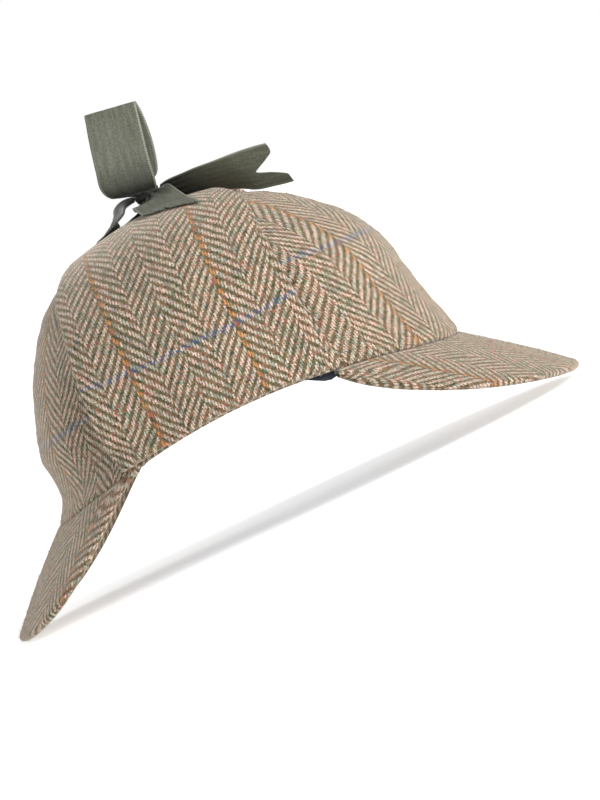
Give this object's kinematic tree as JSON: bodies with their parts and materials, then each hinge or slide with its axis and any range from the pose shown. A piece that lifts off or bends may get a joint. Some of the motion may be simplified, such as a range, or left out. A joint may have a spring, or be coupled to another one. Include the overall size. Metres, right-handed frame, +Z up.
{
  "type": "deerstalker hat",
  "caption": "Tweed deerstalker hat with a peak at the front and back, ear flaps folded up over the crown and a ribbon bow on top.",
  "frame": {"origin": "on the floor, under the middle of the crown", "axes": "+X to the front peak, +Y to the wearer's left, +Z up"},
  "size_m": [0.2898, 0.176, 0.2085],
  "materials": {
    "tweed": "herringbone wool tweed with a thin coloured overcheck",
    "ribbon": "dark green ribbed ribbon"
  },
  "bodies": {
    "root": {"crown_panel_front_left": "tweed", "crown_panel_front_right": "tweed", "crown_panel_side_left": "tweed", "crown_panel_side_right": "tweed", "crown_panel_back_left": "tweed", "crown_panel_back_right": "tweed", "peak_front": "tweed", "peak_back": "tweed", "ear_flap_right": "tweed", "ear_flap_left": "tweed", "strap_near": "ribbon", "strap_far": "ribbon", "bow_knot": "ribbon", "bow_loop": "ribbon", "tail_notched": "ribbon", "tail_plain": "ribbon"}
  },
  "joints": []
}
